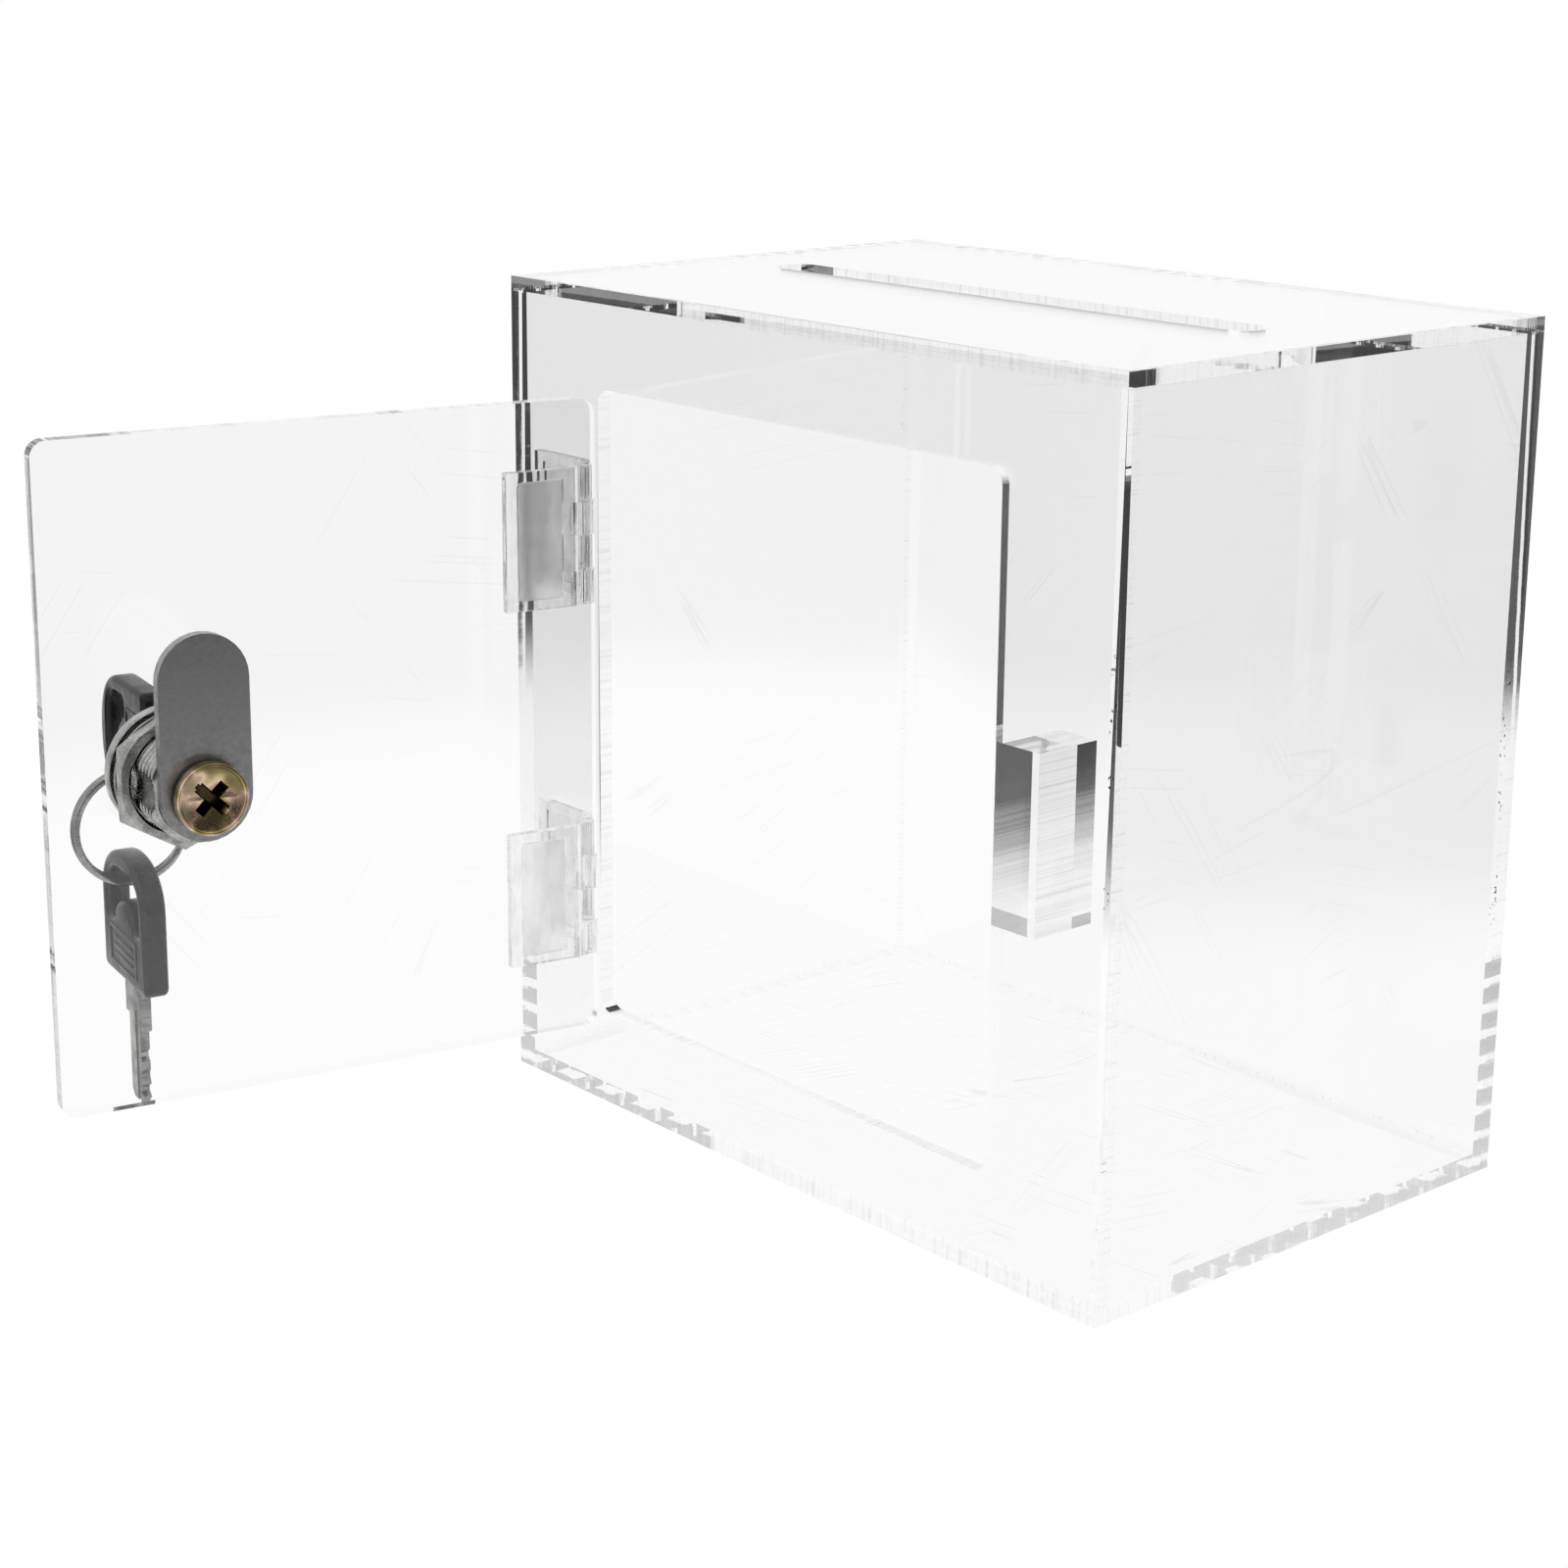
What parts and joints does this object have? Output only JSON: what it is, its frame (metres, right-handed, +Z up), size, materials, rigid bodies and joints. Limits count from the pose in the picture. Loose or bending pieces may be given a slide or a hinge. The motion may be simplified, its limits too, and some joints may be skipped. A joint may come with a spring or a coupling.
{
  "type": "donation box",
  "caption": "Clear acrylic donation box with a money slot in the lid and a hinged, lockable front door, shown open, with a key in its cam lock and a spare key on a split ring.",
  "frame": {"origin": "centre of the base panel's underside", "axes": "+Z up; +X to the right and +Y to the back for a person who faces the front with the door"},
  "size_m": [0.1727, 0.2027, 0.15],
  "materials": {
    "clear_acrylic": "polished clear sheet with laser-cut edges",
    "clear_moulded_plastic": "clear injection moulded",
    "nickel_plated_zinc": "nickel plated die casting",
    "plug_brass": "machined, nickel washed",
    "satin_steel": "satin",
    "yellow_zinc": "yellow zinc plated",
    "black_bow_plastic": "fine moulded texture"
  },
  "bodies": {
    "box": {"base_panel": "clear_acrylic", "lid_panel": "clear_acrylic", "back_panel": "clear_acrylic", "left_side_panel": "clear_acrylic", "right_side_panel": "clear_acrylic", "front_panel": "clear_acrylic", "keeper_block": "clear_acrylic", "upper_hinge_frame_leaf": "clear_moulded_plastic", "upper_hinge_pin": "clear_moulded_plastic", "lower_hinge_frame_leaf": "clear_moulded_plastic", "lower_hinge_pin": "clear_moulded_plastic"},
    "door": {"door_panel": "clear_acrylic", "upper_hinge_door_leaf": "clear_moulded_plastic", "lower_hinge_door_leaf": "clear_moulded_plastic", "lock_barrel": "nickel_plated_zinc", "lock_washer": "nickel_plated_zinc", "lock_nut": "nickel_plated_zinc"},
    "plug": {"lock_plug": "plug_brass", "lock_wafer_1": "plug_brass", "lock_wafer_2": "plug_brass", "lock_wafer_3": "plug_brass", "lock_wafer_4": "plug_brass", "lock_wafer_5": "plug_brass", "wafer_spring_1": "satin_steel", "wafer_spring_2": "satin_steel", "wafer_spring_3": "satin_steel", "wafer_spring_4": "satin_steel", "wafer_spring_5": "satin_steel", "cam_plate": "satin_steel", "cam_screw": "yellow_zinc"},
    "key": {"key_bow": "black_bow_plastic", "key_blade": "satin_steel"},
    "ring": {"key_ring": "satin_steel"},
    "spare_key": {"spare_key_bow": "black_bow_plastic", "spare_key_blade": "satin_steel"}
  },
  "joints": [
    {"name": "door_hinge", "type": "hinge", "parent": "box", "child": "door", "pos_m": [-0.0502, -0.0535, 0.075], "axis": [0, 0, 1], "range_deg": [-73.5, 101.5]},
    {"name": "lock_turn", "type": "hinge", "parent": "door", "child": "plug", "pos_m": [-0.06571, -0.12974, 0.075], "axis": [0.9799, -0.1994, 0], "range_deg": [0, 90]},
    {"name": "key_slide", "type": "slide", "parent": "plug", "child": "key", "axis": [-0.9799, 0.1994, 0], "range_m": [0, 0.022]},
    {"name": "ring_swing", "type": "hinge", "parent": "key", "child": "ring", "pos_m": [-0.08639, -0.12553, 0.064], "axis": [-0.9799, 0.1994, 0], "range_deg": [-20, 90]},
    {"name": "spare_key_swing", "type": "hinge", "parent": "ring", "child": "spare_key", "pos_m": [-0.08639, -0.12553, 0.0492], "axis": [-0.1994, -0.9799, 0], "range_deg": [-60, 25]}
  ]
}
